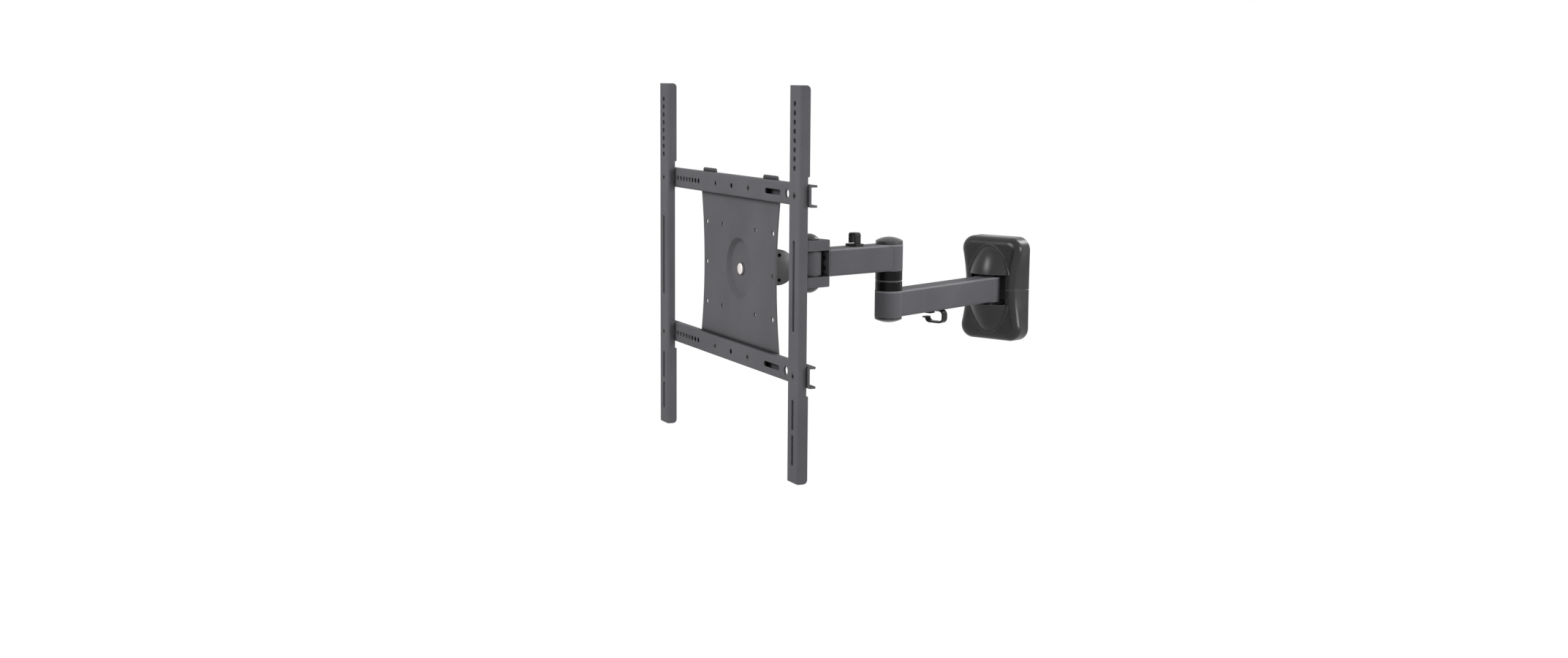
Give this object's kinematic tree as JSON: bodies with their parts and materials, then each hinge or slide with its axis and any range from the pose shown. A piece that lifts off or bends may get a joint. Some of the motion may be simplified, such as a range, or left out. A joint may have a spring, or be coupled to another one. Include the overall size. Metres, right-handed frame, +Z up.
{
  "type": "full motion tv wall mount",
  "caption": "Articulated wall mount for a flat screen: covered wall bracket, folding arm, pan and tilt knuckle, and a frame of rails and uprights with hole rows.",
  "frame": {"origin": "on the wall, at the middle of the wall bracket's back, level with the rear arm's centre line", "axes": "+X right as seen from the room, +Y into the wall, +Z up"},
  "size_m": [0.3962, 0.5875, 0.44],
  "materials": {
    "coated_steel": "dark grey powder coat, fine grain, satin",
    "cover_plastic": "charcoal moulded plastic, semi-gloss",
    "cap_plastic": "dark grey moulded plastic, satin",
    "clip_plastic": "black moulded plastic, satin",
    "ring_plastic": "black acetal, polished",
    "nylon": "black nylon",
    "zinc_steel": "bright zinc plate",
    "black_steel": "black oxide, satin"
  },
  "bodies": {
    "wall_unit": {"wall_bracket": "coated_steel", "upper_cover": "cover_plastic", "lower_cover": "cover_plastic", "wall_pivot_bolt": "zinc_steel", "wall_pivot_nut": "zinc_steel", "wall_washers": "nylon"},
    "rear_link": {"rear_arm": "coated_steel", "wall_bushes": "nylon", "elbow_lower_ring": "ring_plastic", "elbow_bolt": "zinc_steel", "elbow_nut": "zinc_steel", "elbow_bottom_cap": "cap_plastic", "rear_cable_clip": "clip_plastic"},
    "front_link": {"front_arm": "coated_steel", "elbow_upper_ring": "ring_plastic", "elbow_bushes": "nylon", "elbow_top_cap": "cap_plastic", "front_cable_clip": "clip_plastic", "pan_yoke": "coated_steel", "yoke_screws": "black_steel", "pan_bolt": "zinc_steel", "pan_nut": "zinc_steel", "pan_top_cap": "cap_plastic", "pan_bottom_cap": "cap_plastic", "pan_washers": "nylon"},
    "pan_unit": {"pan_knuckle": "coated_steel", "pan_bushes": "nylon"},
    "tilt_unit": {"tilt_bracket": "coated_steel", "tilt_bolt": "zinc_steel", "tilt_nut": "zinc_steel", "tilt_washers": "nylon", "left_tilt_cap": "cap_plastic", "right_tilt_cap": "cap_plastic", "centre_bolt": "zinc_steel", "centre_nut": "zinc_steel", "level_washer": "nylon"},
    "tv_frame": {"tv_plate": "coated_steel", "upper_rail": "coated_steel", "lower_rail": "coated_steel", "left_upright": "coated_steel", "right_upright": "coated_steel", "upright_screws": "black_steel", "upright_nuts": "black_steel", "plate_screws": "black_steel", "plate_nuts": "black_steel"}
  },
  "joints": [
    {"name": "arm_swing", "type": "hinge", "parent": "wall_unit", "child": "rear_link", "pos_m": [0, -0.031, 0], "axis": [0, 0, 1], "range_deg": [-60, 60]},
    {"name": "elbow_fold", "type": "hinge", "parent": "rear_link", "child": "front_link", "pos_m": [0, -0.259, 0.0595], "axis": [0, 0, 1], "range_deg": [-70, 90]},
    {"name": "pan", "type": "hinge", "parent": "front_link", "child": "pan_unit", "pos_m": [-0.02362, -0.39293, 0.0595], "axis": [0, 0, 1], "range_deg": [-29, 61]},
    {"name": "tilt", "type": "hinge", "parent": "pan_unit", "child": "tilt_unit", "pos_m": [-0.04641, -0.43967, 0.0583], "axis": [0.8988, -0.4384, 0], "range_deg": [-5, 15]},
    {"name": "level", "type": "hinge", "parent": "tilt_unit", "child": "tv_frame", "pos_m": [-0.0646, -0.47697, 0.056], "axis": [0.4384, 0.8988, 0], "range_deg": [-3, 3]}
  ]
}
